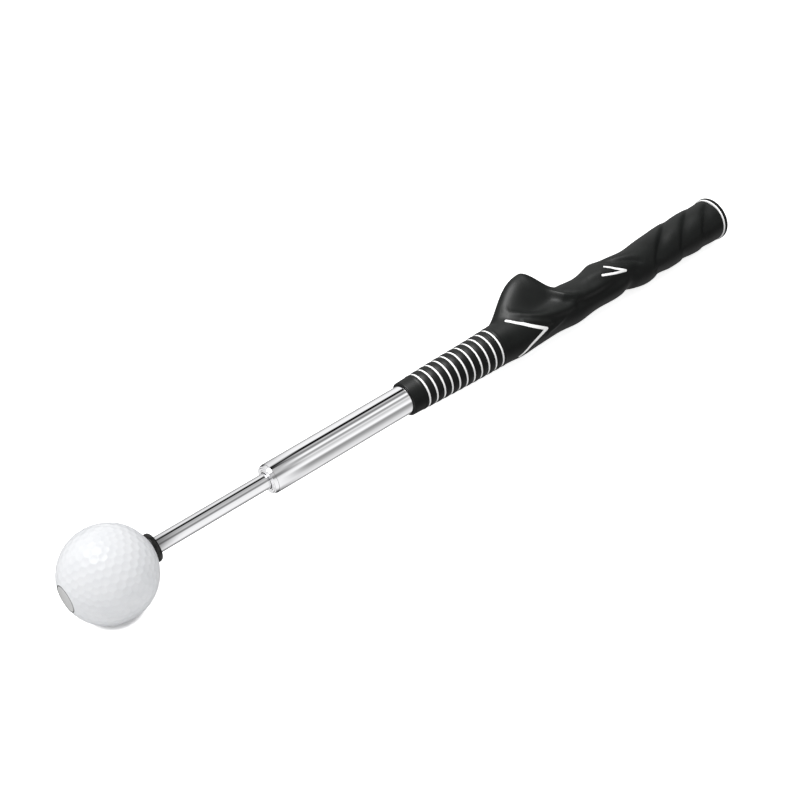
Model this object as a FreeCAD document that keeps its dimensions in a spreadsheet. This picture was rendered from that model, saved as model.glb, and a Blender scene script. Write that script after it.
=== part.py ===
import FreeCAD, Part
import math
import os
import re
import Sketcher

# A telescopic golf swing trainer, in millimetres.
#
# The shaft axis is X. The origin is the centre of the flat butt face, and the ball end points
# to -X, so "distance from the butt" is -x. +Z is up: the trainer lies on its side, with the
# thumb fin of the grip leaning away at lie_angle above the horizontal.
#
# Four chrome tubes nest in each other. Each moving stage carries a tail fitting, pressed into
# its tube, and a split friction sleeve that turns on the fitting's neck and slides in the bore
# of the next tube out. The shoulder of a fitting is too big for the rolled-in mouth of the
# tube around it, which stops the stage when it is pulled out.

doc = FreeCAD.newDocument("swing_trainer")
sheet = doc.addObject("Spreadsheet::Sheet", "Dims")

DIMENSIONS = {
    # the whole trainer
    "ball_to_butt": 372.0,       # ball centre to butt face
    "lie_angle": 38.0,           # thumb fin above the horizontal, degrees
    # ball head
    "ball_dia": 42.67,           # regulation golf ball
    "cover_thick": 1.8,
    "insert_dia": 12.9,
    "insert_depth": 6.35,        # from the end cap's face down to the insert
    "rod_past_centre": 8.0,      # how far the rod reaches past the ball's centre
    "cap_thick": 2.0,
    "cap_wall": 1.0,
    "collar_thick": 2.9,
    "collar_round": 0.8,
    "screw_dia": 4.0,
    "screw_length": 14.0,
    "screw_head_dia": 7.0,
    "screw_head_thick": 2.6,
    "socket_dia": 2.9,
    "socket_depth": 1.5,
    "washer_dia": 9.0,
    "washer_thick": 1.0,
    "nut_length": 16.0,
    # tubes, outside diameters and walls
    "outer_dia": 14.2,
    "outer_wall": 0.7,
    "first_dia": 11.9,
    "first_wall": 0.55,
    "second_dia": 9.6,
    "second_wall": 0.5,
    "rod_dia": 7.4,
    "rod_wall": 0.7,
    "tube_mouth": 290.7,         # butt face to the outer tube's mouth
    "tube_rear": 24.0,           # butt face to the outer tube's rear end
    "mouth_step": 0.15,          # each stage stands this much proud of the one around it
    "lip_length": 2.0,
    "lip_gap": 0.05,
    "lip_bevel": 0.5,
    # tail fittings and friction sleeves
    "rod_tail": 184.4,           # butt face to the rod's inner end
    "shoulder_length": 1.5,
    "shoulder_step": 0.25,
    "sleeve_length": 10.0,
    "sleeve_play": 0.2,
    "sleeve_gap": 0.05,
    "sleeve_wall": 1.0,
    "sleeve_slit": 0.8,
    "flange_length": 1.5,
    "spigot_length": 8.0,
    "stage_gap": 1.0,
    "spring_length": 2.0,
    "spring_depth": 0.6,
    "fitting_bore": 3.0,
    # plugs in the outer tube
    "plug_length": 10.0,
    "plug_flange": 2.0,
    # grip
    "grip_length": 212.0,        # butt face to the grip's mouth
    "tape_thick": 0.3,
    "mouth_hug": 4.0,            # bare stretch of the bore that holds the tube directly
    "ring_first": 203.3,         # butt face to the first white ring
    "ring_pitch": 4.48,
    "ring_count": 11.0,
    "ring_width": 1.0,
    "ring_floor": 8.1,           # radius of the bottom of the ring grooves
    "inlay_depth": 0.8,
    "large_v_width": 1.9,
    "small_v_width": 1.5,
    "butt_ring_width": 0.7,
    "butt_ring_wall": 2.2,
    "butt_dia": 23.0,
    "butt_cap_rim": 2.0,
    "butt_cap_spigot": 12.0,
    "butt_round": 0.8,
}

for row, (alias, number) in enumerate(DIMENSIONS.items(), start=1):
    sheet.set(f"A{row}", alias)
    sheet.set(f"B{row}", str(number))
    sheet.setAlias(f"B{row}", alias)
doc.recompute()


def bound(text):
    """An expression on the sheet, from plain words such as 'rod_dia / 2'."""
    return re.sub(r"[a-z_]+[a-z]", lambda word: "Dims." + word.group(0), text)


def origin_plane(body, role):
    return next(item for item in body.Origin.OriginFeatures if item.Role == role)


def pin_vertex(sketch, line, number, along, radius):
    """Ties the start of a section line to its place along the axis and its radius."""
    for kind, text, axis in (("DistanceX", along, -2), ("DistanceY", radius, -1)):
        if text == "0":
            sketch.addConstraint(Sketcher.Constraint("PointOnObject", line, 1, axis))
            continue
        index = sketch.addConstraint(Sketcher.Constraint(kind, -1, 1, line, 1, 1.0 + number))
        name = f"{kind}{number}"
        sketch.renameConstraint(index, name)
        sketch.setExpression("Constraints." + name, bound(text))


def turned(label, start, outline):
    """A turned piece. Its half section is given as (along, radius) pairs, measured from its
    ball-side end, and 'start' is that end's distance from the butt face."""
    body = doc.addObject("PartDesign::Body", label)
    body.Label = label
    sketch = body.newObject("Sketcher::SketchObject", label + "_section")
    sketch.AttachmentSupport = (origin_plane(body, "XZ_Plane"), [""])
    sketch.MapMode = "FlatFace"
    count = len(outline)
    corners = [FreeCAD.Vector(1 + i, 1 + (i * i) % 7, 0) for i in range(count)]
    for i in range(count):
        sketch.addGeometry(Part.LineSegment(corners[i], corners[(i + 1) % count]), False)
    for i in range(count):
        sketch.addConstraint(Sketcher.Constraint("Coincident", i, 2, (i + 1) % count, 1))
    for i, (along, radius) in enumerate(outline):
        pin_vertex(sketch, i, i, along, radius)
    spin = body.newObject("PartDesign::Revolution", label + "_turned")
    spin.Profile = sketch
    spin.ReferenceAxis = (sketch, ["H_Axis"])
    spin.Angle = 360
    sketch.Visibility = False
    body.Tip = spin
    body.setExpression("Placement.Base.x", bound("-(" + start + ")"))
    doc.recompute()
    return body


def ring(label, start, length, inner, outer):
    """A plain turned ring or sleeve."""
    outline = [("0", inner), ("0", outer), (length, outer), (length, inner)]
    return turned(label, start, outline)


def round_rim(body, size, along, radius):
    """Rounds the circular edges at the given places along the axis, in the body's own frame."""
    tip = body.Tip
    edges = []
    for number, edge in enumerate(tip.Shape.Edges, start=1):
        curve = edge.Curve
        if not isinstance(curve, Part.Circle) or abs(curve.Radius - radius) > 0.01:
            continue
        if any(abs(curve.Center.x - place) < 0.01 for place in along):
            edges.append(f"Edge{number}")
    fillet = body.newObject("PartDesign::Fillet", body.Label + "_round")
    fillet.Base = (tip, edges)
    fillet.setExpression("Radius", bound(size))
    body.Tip = fillet
    doc.recompute()


def slit(body, width, reach):
    """Cuts a lengthwise slit right along a sleeve, so that it can spring."""
    before = body.Shape.Volume
    sketch = body.newObject("Sketcher::SketchObject", body.Label + "_slit_outline")
    sketch.AttachmentSupport = (origin_plane(body, "YZ_Plane"), [""])
    sketch.MapMode = "FlatFace"
    corners = [FreeCAD.Vector(x, y, 0) for x, y in ((-1, 0), (1, 0), (1, 9), (-1, 9))]
    for i in range(4):
        sketch.addGeometry(Part.LineSegment(corners[i], corners[(i + 1) % 4]), False)
    for i in range(4):
        sketch.addConstraint(Sketcher.Constraint("Coincident", i, 2, (i + 1) % 4, 1))
    sketch.addConstraint(Sketcher.Constraint("Horizontal", 0))
    sketch.addConstraint(Sketcher.Constraint("Vertical", 1))
    sketch.addConstraint(Sketcher.Constraint("Vertical", 3))
    sketch.addConstraint(Sketcher.Constraint("PointOnObject", 0, 1, -1))
    sketch.addConstraint(Sketcher.Constraint("Symmetric", 2, 1, 2, 2, -2))
    wide = sketch.addConstraint(Sketcher.Constraint("DistanceX", 0, 1, 0, 2, 2.0))
    tall = sketch.addConstraint(Sketcher.Constraint("DistanceY", 1, 1, 1, 2, 9.0))
    sketch.renameConstraint(wide, "slit_width")
    sketch.renameConstraint(tall, "slit_reach")
    sketch.setExpression("Constraints.slit_width", bound(width))
    sketch.setExpression("Constraints.slit_reach", bound(reach))
    pocket = body.newObject("PartDesign::Pocket", body.Label + "_slit")
    pocket.Profile = sketch
    pocket.Type = 1
    pocket.Midplane = True
    sketch.Visibility = False
    body.Tip = pocket
    doc.recompute()
    if body.Shape.Volume > 0.99 * before:
        raise RuntimeError(body.Label + ": the slit cut nothing")


def cell(alias):
    return float(sheet.get(alias))


# --- ball head -------------------------------------------------------------------------------
# The ball is drilled right through. A steel insert fills the hole and takes the rod, which a
# screw holds from the far end, under a flush end cap. A black collar closes the rod side.

def ball_shell(label, outer, inner):
    """A ball-shaped piece round the drilled hole: outer sphere less inner sphere and hole."""
    sphere = doc.addObject("Part::Sphere", label + "_outside")
    sphere.setExpression("Radius", bound(outer))
    hollow = doc.addObject("Part::Cylinder", label + "_drilling")
    hollow.setExpression("Radius", bound("insert_dia / 2"))
    hollow.setExpression("Height", bound("2 * ball_dia"))
    hollow.Placement.Rotation = FreeCAD.Rotation(FreeCAD.Vector(0, 1, 0), 90)
    hollow.setExpression("Placement.Base.x", bound("-ball_dia"))
    tool = hollow
    if inner:
        cavity = doc.addObject("Part::Sphere", label + "_inside")
        cavity.setExpression("Radius", bound(inner))
        tool = doc.addObject("Part::Fuse", label + "_hollow")
        tool.Base = cavity
        tool.Tool = hollow
    shell = doc.addObject("Part::Cut", label)
    shell.Label = label
    shell.Base = sphere
    shell.Tool = tool
    shell.setExpression("Placement.Base.x", bound("-ball_to_butt"))
    doc.recompute()
    return shell


# Half the length of the drilled hole: the flat between its two rims.
half_hole = math.sqrt((cell("ball_dia") / 2) ** 2 - (cell("insert_dia") / 2) ** 2)
last_row = len(DIMENSIONS) + 1
sheet.set(f"A{last_row}", "half_hole")
sheet.set(f"B{last_row}", f"{half_hole:.4f}")
sheet.setAlias(f"B{last_row}", "half_hole")
doc.recompute()

ball_cover = ball_shell("ball_cover", "ball_dia / 2", "ball_dia / 2 - cover_thick")
ball_core = ball_shell("ball_core", "ball_dia / 2 - cover_thick", "")
ball_insert = turned(
    "ball_insert",
    "ball_to_butt + half_hole - insert_depth",
    [
        ("0", "screw_dia / 2 + 0.2"),
        ("0", "insert_dia / 2"),
        ("2 * half_hole - insert_depth", "insert_dia / 2"),
        ("2 * half_hole - insert_depth", "rod_dia / 2"),
        ("half_hole - insert_depth - rod_past_centre", "rod_dia / 2"),
        ("half_hole - insert_depth - rod_past_centre", "screw_dia / 2 + 0.2"),
    ],
)
ball_end_cap = turned(
    "ball_end_cap",
    "ball_to_butt + half_hole",
    [
        ("0", "0"),
        ("0", "insert_dia / 2"),
        ("insert_depth", "insert_dia / 2"),
        ("insert_depth", "insert_dia / 2 - cap_wall"),
        ("cap_thick", "insert_dia / 2 - cap_wall"),
        ("cap_thick", "0"),
    ],
)
ball_collar = ring(
    "ball_collar",
    "ball_to_butt - half_hole",
    "collar_thick",
    "rod_dia / 2",
    "insert_dia / 2",
)
round_rim(ball_collar, "collar_round", (0, cell("collar_thick")), cell("insert_dia") / 2)

screw_seat = "ball_to_butt + half_hole - insert_depth"
ball_washer = ring(
    "ball_washer",
    screw_seat + " + washer_thick",
    "washer_thick",
    "screw_dia / 2 + 0.15",
    "washer_dia / 2",
)
ball_screw = turned(
    "ball_screw",
    screw_seat + " + washer_thick + screw_head_thick",
    [
        ("0", "socket_dia / 2"),
        ("0", "screw_head_dia / 2"),
        ("screw_head_thick", "screw_head_dia / 2"),
        ("screw_head_thick", "screw_dia / 2"),
        ("screw_head_thick + screw_length", "screw_dia / 2"),
        ("screw_head_thick + screw_length", "0"),
        ("socket_depth", "0"),
        ("socket_depth", "socket_dia / 2"),
    ],
)
rod_nut = ring(
    "rod_nut",
    "ball_to_butt + rod_past_centre",
    "nut_length",
    "screw_dia / 2",
    "rod_dia / 2 - rod_wall",
)

# --- telescopic tubes ------------------------------------------------------------------------


def tube(label, start, end, dia, wall, inner_dia):
    """A chrome tube with its mouth rolled in to an easy fit on the tube inside it."""
    length = f"({start}) - ({end})"
    lip = f"{inner_dia} / 2 + lip_gap"
    bore = f"{dia} / 2 - {wall}"
    return turned(
        label,
        start,
        [
            ("0", lip),
            ("0", f"{dia} / 2 - lip_bevel"),
            ("lip_bevel", f"{dia} / 2"),
            (length, f"{dia} / 2"),
            (length, bore),
            ("lip_length", bore),
            ("lip_length", lip),
        ],
    )


# One stage's fitting reaches this far behind its tube, and the next stage in starts after it.
fitting_reach = "(shoulder_length + sleeve_length + sleeve_play + flange_length)"
stage_step = f"({fitting_reach} + stage_gap + spigot_length)"
second_tail = f"(rod_tail - {stage_step})"
first_tail = f"(rod_tail - 2 * {stage_step})"

outer_tube = tube("outer_tube", "tube_mouth", "tube_rear", "outer_dia", "outer_wall", "first_dia")
first_tube = tube(
    "first_stage_tube", "tube_mouth + mouth_step", first_tail,
    "first_dia", "first_wall", "second_dia",
)
second_tube = tube(
    "second_stage_tube", "tube_mouth + 2 * mouth_step", second_tail,
    "second_dia", "second_wall", "rod_dia",
)
tip_rod = ring(
    "tip_rod",
    "ball_to_butt + rod_past_centre",
    "ball_to_butt + rod_past_centre - rod_tail",
    "rod_dia / 2 - rod_wall",
    "rod_dia / 2",
)


def stage_tail(stage, tail, dia, wall, slides_in):
    """The fitting, friction sleeve and spring ring at the inner end of one stage.
    'slides_in' is the bore radius of the tube that the stage slides in."""
    bore = f"({dia} / 2 - {wall})"
    sleeve_outside = f"({slides_in} - sleeve_gap)"
    neck = f"({slides_in} - 2 * sleeve_gap - sleeve_wall)"
    neck_start = "(spigot_length + shoulder_length)"
    neck_end = "(spigot_length + shoulder_length + sleeve_length + sleeve_play)"
    shoulder = f"({dia} / 2 + shoulder_step)"
    fitting_end = f"(spigot_length + {fitting_reach})"
    groove_mid = f"(({neck_start} + {neck_end}) / 2)"
    turned(
        stage + "_fitting",
        f"{tail} + spigot_length",
        [
            ("0", "fitting_bore / 2"),
            ("0", bore),
            ("spigot_length", bore),
            ("spigot_length", shoulder),
            (neck_start, shoulder),
            (neck_start, neck),
            (f"{groove_mid} - spring_length / 2 - sleeve_play", neck),
            (f"{groove_mid} - spring_length / 2 - sleeve_play", f"{neck} - spring_depth"),
            (f"{groove_mid} + spring_length / 2 + sleeve_play", f"{neck} - spring_depth"),
            (f"{groove_mid} + spring_length / 2 + sleeve_play", neck),
            (neck_end, neck),
            (neck_end, shoulder),
            (fitting_end, shoulder),
            (fitting_end, "fitting_bore / 2"),
        ],
    )
    sleeve = ring(
        stage + "_sleeve",
        f"{tail} - shoulder_length - sleeve_play / 2",
        "sleeve_length",
        f"{neck} + sleeve_gap",
        sleeve_outside,
    )
    slit(sleeve, "sleeve_slit", "outer_dia")
    ring(
        stage + "_spring_ring",
        f"{tail} - shoulder_length - (sleeve_play + sleeve_length - spring_length) / 2",
        "spring_length",
        f"{neck} - spring_depth + sleeve_gap",
        f"{neck} + sleeve_gap",
    )


stage_tail("first_stage", first_tail, "first_dia", "first_wall", "(outer_dia / 2 - outer_wall)")
stage_tail("second_stage", second_tail, "second_dia", "second_wall",
           "(first_dia / 2 - first_wall)")
stage_tail("rod", "rod_tail", "rod_dia", "rod_wall", "(second_dia / 2 - second_wall)")

stop_plug = ring(
    "stop_plug",
    f"{first_tail} - {fitting_reach} - stage_gap",
    "plug_length",
    "fitting_bore / 2",
    "outer_dia / 2 - outer_wall",
)
rear_plug = turned(
    "rear_plug",
    "tube_rear + plug_length",
    [
        ("0", "fitting_bore / 2"),
        ("0", "outer_dia / 2 - outer_wall"),
        ("plug_length", "outer_dia / 2 - outer_wall"),
        ("plug_length", "outer_dia / 2"),
        ("plug_length + plug_flange", "outer_dia / 2"),
        ("plug_length + plug_flange", "fitting_bore / 2"),
    ],
)

# --- grip ------------------------------------------------------------------------------------
# The outside of the moulded grip is a radius for each distance from the butt and each angle
# round the shaft. The angle is 0 on the crest of the thumb fin and 90 degrees on the side of
# the thumb scoop.

GIRTH = ((0, 10.9), (20, 11.2), (40, 11.0), (58, 10.7), (72, 10.3), (95, 10.0), (117, 10.1),
         (137, 10.6), (160, 9.95), (186, 9.25), (212, 8.35))
FIN_FRONT = 151.5
FIN_CREST = 123.2
FIN_REAR = 108.0
FIN_HEIGHT = 14.2
# Swells and hollows: distance from the butt, angle, height, half length and half angle.
SWELLS = (
    (144.5, 180, 0.5, 6.0, 70),
    (106.5, 180, 1.2, 9.0, 60),
    (83.8, 0, 1.1, 4.8, 45),
    (82.0, 180, 0.3, 6.0, 50),
    (58.0, 185, 1.2, 7.0, 55),
    (40.0, 185, 0.3, 5.0, 60),
    (62.0, -5, -1.6, 10.0, 50),
    (47.0, -5, -0.5, 9.0, 50),
    (168.0, 0, -0.45, 22.0, 60),
    (168.0, 180, 0.2, 22.0, 60),
    (97.0, -5, -0.9, 7.0, 45),
    (127.0, 56, -1.8, 13.0, 24),
    (102.0, 42, -0.7, 7.0, 22),
)
# Ridges and valleys that run over the surface: the half width on the butt's side and on the
# mouth's side, then points with a distance from the butt, an angle and a height.
RIDGES = (
    # the lip round the foot of the thumb scoop
    ((2.2, 2.2), (
        (143.5, 14, 0.2), (142.3, 32, 0.9), (138.7, 49, 1.3), (134.9, 66, 1.5), (130.3, 82, 1.6),
        (125.1, 92, 1.6), (119.8, 98, 1.5), (114.7, 102, 1.3), (111.1, 101, 1.0),
        (108.8, 95, 0.6), (108.5, 86, 0.0),
    )),
    # the saddle ridge, from the fin's rear slope to the second swell
    ((2.5, 2.5), (
        (122.0, 14, 0.4), (120.2, 21, 0.9), (117.5, 28, 1.4), (115.3, 39, 2.0), (112.3, 65, 2.2),
        (108.5, 81, 2.1), (103.0, 92, 1.8), (96.3, 96, 1.4), (90.4, 95, 1.0), (84.7, 96, 0.4),
    )),
    # the valley under the saddle ridge
    ((3.0, 3.0), (
        (110.0, 86, 0.0), (107.2, 98, -0.5), (99.4, 108, -0.9), (91.3, 114, -0.9),
        (82.7, 112, -0.8), (75.7, 108, -0.8), (69.0, 106, -0.6), (63.6, 104, -0.2),
    )),
    # the bump under the small V
    ((3.4, 4.0), (
        (94.0, 50, 0.3), (86.0, 64, 0.9), (78.0, 78, 1.0), (71.0, 91, 1.0), (64.5, 97, 0.4),
    )),
    # the crease above the small V
    ((2.4, 1.6), (
        (84.0, 12, 0.0), (79.4, 31, -1.0), (75.6, 45, -1.5), (71.1, 62, -1.6), (66.3, 80, -1.5),
        (63.2, 92, -1.0), (60.5, 102, 0.0),
    )),
    # the finger valleys, from the thumb side to the butt
    ((4.0, 3.2), (
        (63.5, 96, 0.0), (65.9, 108, -0.6), (70.0, 132, -0.9), (71.5, 165, -1.1),
        (71.5, 195, -1.0), (74.0, 240, -0.6), (79.0, 300, -0.3), (80.0, 340, 0.0),
    )),
    ((4.5, 1.9), (
        (26.0, -30, -0.3), (28.0, 0, -0.5), (32.0, 22, -0.8), (37.4, 44, -1.2), (42.5, 64, -1.3),
        (47.1, 82, -1.3), (52.0, 109, -1.0), (52.8, 137, -0.8), (49.5, 180, -0.6),
        (43.0, 230, -0.5), (34.0, 290, -0.4), (26.0, 330, -0.3),
    )),
    ((4.5, 1.9), (
        (7.0, -30, -0.3), (10.0, 0, -0.4), (16.0, 28, -0.8), (22.8, 54, -1.1), (27.5, 74, -1.2),
        (31.0, 92, -1.2), (33.7, 115, -0.9), (33.7, 130, -0.7), (30.0, 180, -0.7),
        (24.0, 230, -0.5), (13.0, 290, -0.4), (7.0, 330, -0.3),
    )),
    ((4.5, 1.9), (
        (1.0, 30, 0.0), (5.0, 48, -0.6), (9.7, 65, -1.0), (14.0, 88, -1.1), (17.0, 108, -0.9),
        (17.3, 144, -0.6), (15.0, 180, -0.5), (8.0, 230, -0.4), (3.0, 260, 0.0),
    )),
)
AROUND = 0.19                # millimetres of surface for each degree round the grip


def through(points, place):
    """A smooth curve through the points (Catmull-Rom), clamped at both ends."""
    place = min(max(place, points[0][0]), points[-1][0])
    i = max(n for n in range(len(points) - 1) if points[n][0] <= place)
    (x1, y1), (x2, y2) = points[i], points[i + 1]
    x0, y0 = points[i - 1] if i > 0 else (2 * x1 - x2, 2 * y1 - y2)
    x3, y3 = points[i + 2] if i + 2 < len(points) else (2 * x2 - x1, 2 * y2 - y1)
    slope1 = (y2 - y0) / (x2 - x0) * (x2 - x1)
    slope2 = (y3 - y1) / (x3 - x1) * (x2 - x1)
    t = (place - x1) / (x2 - x1)
    return (
        y1 * (2 * t**3 - 3 * t**2 + 1)
        + slope1 * (t**3 - 2 * t**2 + t)
        + y2 * (3 * t**2 - 2 * t**3)
        + slope2 * (t**3 - t**2)
    )


def turn_between(angle, other):
    return (angle - other + 180) % 360 - 180


def fin(distance, angle):
    if not FIN_REAR < distance < FIN_FRONT:
        return 0.0
    if distance > FIN_CREST:
        rise = math.sin(math.pi / 2 * (FIN_FRONT - distance) / (FIN_FRONT - FIN_CREST))
        rise = rise ** 1.25
    else:
        rise = math.sin(math.pi / 2 * (distance - FIN_REAR) / (FIN_CREST - FIN_REAR)) ** 2
    away = turn_between(angle, 0)
    half_angle = 23.0 if away > 0 else 30.0
    return FIN_HEIGHT * rise * math.exp(-((away / half_angle) ** 2))


def ridge(distance, angle, half_widths, points):
    """The height of a ridge or a valley at a place: full on its line, and less to the sides."""
    nearest = math.inf
    level = 0.0
    for (start, start_turn, low), (end, end_turn, high) in zip(points, points[1:]):
        run = end - start
        climb = (end_turn - start_turn) * AROUND
        for lap in (-360, 0, 360):
            along = distance - start
            around = (angle + lap - start_turn) * AROUND
            share = (along * run + around * climb) / (run**2 + climb**2)
            share = min(1.0, max(0.0, share))
            gap = math.hypot(along - share * run, around - share * climb)
            if gap < nearest:
                nearest = gap
                half_width = half_widths[0 if run * around > climb * along else 1]
                level = (low + (high - low) * share) * math.exp(-((gap / half_width) ** 2))
    return level


def grip_radius(distance, angle):
    radius = through(GIRTH, distance) + fin(distance, angle)
    for place, turn, height, half_length, half_angle in SWELLS:
        along = (distance - place) / half_length
        around = turn_between(angle, turn) / half_angle
        radius += height * math.exp(-(along**2) - around**2)
    for half_widths, points in RIDGES:
        radius += ridge(distance, angle, half_widths, points)
    return radius


def grip_point(distance, angle, radius):
    turn = math.radians(cell("lie_angle") + angle)
    return FreeCAD.Vector(-distance, radius * math.cos(turn), radius * math.sin(turn))


GRIP_POINTS = 48
GRIP_STEP = 2.8
CROWDING = 24.0              # degrees: points crowd together round the fin's crest
# Every section has the same parameters, so that the loft through them stays light.
GRIP_PARAMETERS = [step / GRIP_POINTS for step in range(GRIP_POINTS + 1)]


def grip_section(distance):
    """The closed outline of the grip at one distance from the butt, in two halves that meet
    under the fin and on its crest."""
    points = []
    for step in range(GRIP_POINTS):
        share = 180.0 + 360.0 * step / GRIP_POINTS
        angle = share - CROWDING * math.sin(math.radians(share))
        points.append(grip_point(distance, angle, grip_radius(distance, angle)))
    curve = Part.BSplineCurve()
    curve.interpolate(Points=points, PeriodicFlag=True, Parameters=GRIP_PARAMETERS)
    return Part.Wire([curve.toShape(0.0, 0.5), curve.toShape(0.5, 1.0)])


SEAT = cell("butt_cap_rim") + cell("butt_ring_width")


def grip_stations():
    """Distances of the sections: closer together along the fin."""
    places = [SEAT]
    while places[-1] < cell("grip_length") - 1.5 * GRIP_STEP:
        on_fin = FIN_REAR - 4 < places[-1] < FIN_FRONT + 2
        places.append(places[-1] + (GRIP_STEP * 0.8 if on_fin else GRIP_STEP))
    return places + [cell("grip_length")]


grip_form = doc.addObject("Part::Feature", "grip_form")
grip_form.Shape = Part.makeLoft([grip_section(place) for place in grip_stations()], True, False)

grip_bore = turned(
    "grip_bore",
    "grip_length + 1",
    [
        ("0", "0"),
        ("0", "outer_dia / 2"),
        ("1 + mouth_hug", "outer_dia / 2"),
        ("1 + mouth_hug", "outer_dia / 2 + tape_thick"),
        ("grip_length + 1", "outer_dia / 2 + tape_thick"),
        ("grip_length + 1", "0"),
    ],
)

ring_tool = ring(
    "ring_tool",
    "ring_first + ring_width / 2",
    "ring_width",
    "ring_floor",
    "outer_dia",
)
ring_tool.AllowCompound = True
ring_row = ring_tool.newObject("PartDesign::LinearPattern", "ring_row")
ring_row.Originals = [ring_tool.Tip]
ring_row.Direction = (origin_plane(ring_tool, "X_Axis"), [""])
ring_row.setExpression("Length", bound("ring_pitch * (ring_count - 1)"))
ring_row.setExpression("Occurrences", bound("ring_count"))
ring_tool.Tip = ring_row
doc.recompute()


def arm_section(distance, angle, along, around, width):
    """A cross-section of a chevron's arm, from below the grip's surface to above it. The arm
    runs in the direction (along, around) on the surface."""
    surface = grip_radius(distance, angle)
    outward = grip_point(0, angle, 1)
    sideways = outward.cross(grip_point(0, angle + 90, around) - FreeCAD.Vector(along, 0, 0))
    sideways.normalize()
    middle = grip_point(distance, angle, surface)
    depth = cell("inlay_depth")
    corners = [
        middle + sideways * (side * width / 2) + outward * (height * depth)
        for side, height in ((-1, -1), (1, -1), (1, 2), (-1, 2))
    ]
    return Part.makePolygon(corners + corners[:1])


V_STEPS = 4


def chevron(label, tip, arms, width):
    """The cutter of a V mark: two arms laid on the grip's surface, joined at the tip. Each arm
    is a few points, from the tip outwards."""
    cutters = []
    for arm in arms:
        sections = []
        points = (tip,) + arm
        for number, (start, end) in enumerate(zip(points, points[1:])):
            along = end[0] - start[0]
            around = math.radians(end[1] - start[1]) * grip_radius(*tip)
            overrun = width / 2 / math.hypot(along, around) if number == 0 else -1 / V_STEPS
            for step in range(V_STEPS + 1):
                share = -overrun + (1 + overrun) * step / V_STEPS
                distance = start[0] + share * along
                angle = start[1] + share * (end[1] - start[1])
                sections.append(arm_section(distance, angle, along, around, width))
        cutters.append(Part.makeLoft(sections, True, True))
    tool = doc.addObject("Part::Feature", label)
    tool.Shape = cutters[0].fuse(cutters[1])
    return tool


large_v_tool = chevron(
    "large_v_tool",
    (130.8, 122.0),
    (((138.3, 96.0), (147.3, 44.0)), ((147.8, 164.0),)),
    cell("large_v_width"),
)
small_v_tool = chevron(
    "small_v_tool",
    (73.6, 95.0),
    (((82.7, 53.0),), ((87.3, 73.0),)),
    cell("small_v_width"),
)


def cut_in_turn(label, form, tools):
    """The form less each tool in turn."""
    for number, tool in enumerate(tools, start=1):
        cut = doc.addObject("Part::Cut", f"{label}_cut_{number}")
        cut.Base = form
        cut.Tool = tool
        form = cut
    form.Label = label
    doc.recompute()
    return form


grip_body = cut_in_turn("grip_body", grip_form,
                        (grip_bore, ring_tool, large_v_tool, small_v_tool))


def inlay(label, tool):
    """A white inlay that fills the part of the grip's form that its tool cuts out."""
    piece = doc.addObject("Part::Common", label)
    piece.Label = label
    piece.Base = grip_form
    piece.Tool = tool
    return piece


grip_rings = inlay("grip_rings", ring_tool)
large_v_inlay = inlay("large_v_inlay", large_v_tool)
small_v_inlay = inlay("small_v_inlay", small_v_tool)
doc.recompute()

grip_tape = ring(
    "grip_tape",
    "grip_length - mouth_hug",
    "grip_length - mouth_hug - tube_rear",
    "outer_dia / 2",
    "outer_dia / 2 + tape_thick",
)
butt_ring = ring(
    "butt_ring",
    "butt_cap_rim + butt_ring_width",
    "butt_ring_width",
    "butt_dia / 2 - butt_ring_wall",
    "butt_dia / 2",
)
spigot_radius = "outer_dia / 2 + tape_thick"
butt_cap = turned(
    "butt_cap",
    "butt_cap_rim + butt_ring_width + butt_cap_spigot",
    [
        ("0", "0"),
        ("0", spigot_radius),
        ("butt_cap_spigot", spigot_radius),
        ("butt_cap_spigot", "butt_dia / 2 - butt_ring_wall"),
        ("butt_cap_spigot + butt_ring_width", "butt_dia / 2 - butt_ring_wall"),
        ("butt_cap_spigot + butt_ring_width", "butt_dia / 2"),
        ("butt_cap_spigot + butt_ring_width + butt_cap_rim", "butt_dia / 2"),
        ("butt_cap_spigot + butt_ring_width + butt_cap_rim", "0"),
    ],
)
cap_end = cell("butt_cap_spigot") + cell("butt_ring_width") + cell("butt_cap_rim")
round_rim(butt_cap, "butt_round", (cap_end,), cell("butt_dia") / 2)

# --- check and write -------------------------------------------------------------------------
SUB_PARTS = (
    "ball_cover ball_core ball_insert ball_end_cap ball_collar ball_screw ball_washer rod_nut "
    "tip_rod rod_fitting rod_sleeve rod_spring_ring "
    "second_stage_tube second_stage_fitting second_stage_sleeve second_stage_spring_ring "
    "first_stage_tube first_stage_fitting first_stage_sleeve first_stage_spring_ring "
    "outer_tube stop_plug rear_plug "
    "grip_body grip_rings large_v_inlay small_v_inlay grip_tape butt_ring butt_cap"
).split()

doc.recompute()
for item in doc.Objects:
    if "Invalid" in item.State or "Error" in item.State:
        raise RuntimeError(f"{item.Label} failed: {item.State}")

os.makedirs("parts", exist_ok=True)
for name in SUB_PARTS:
    piece = doc.getObjectsByLabel(name)[0]
    shape = piece.Shape
    if shape.isNull() or not shape.isValid() or not shape.Solids:
        raise RuntimeError(name + ": no valid solid")
    shape.exportStep(f"parts/{name}.step")
    box = shape.BoundBox
    print(f"{name:26s} solids {len(shape.Solids):2d}  volume {shape.Volume:9.1f}  "
          f"x {box.XMin:8.2f} {box.XMax:8.2f}")
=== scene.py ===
import itertools
import math

import bmesh
import bpy
import numpy as np
from mathutils import Matrix, Vector


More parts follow.
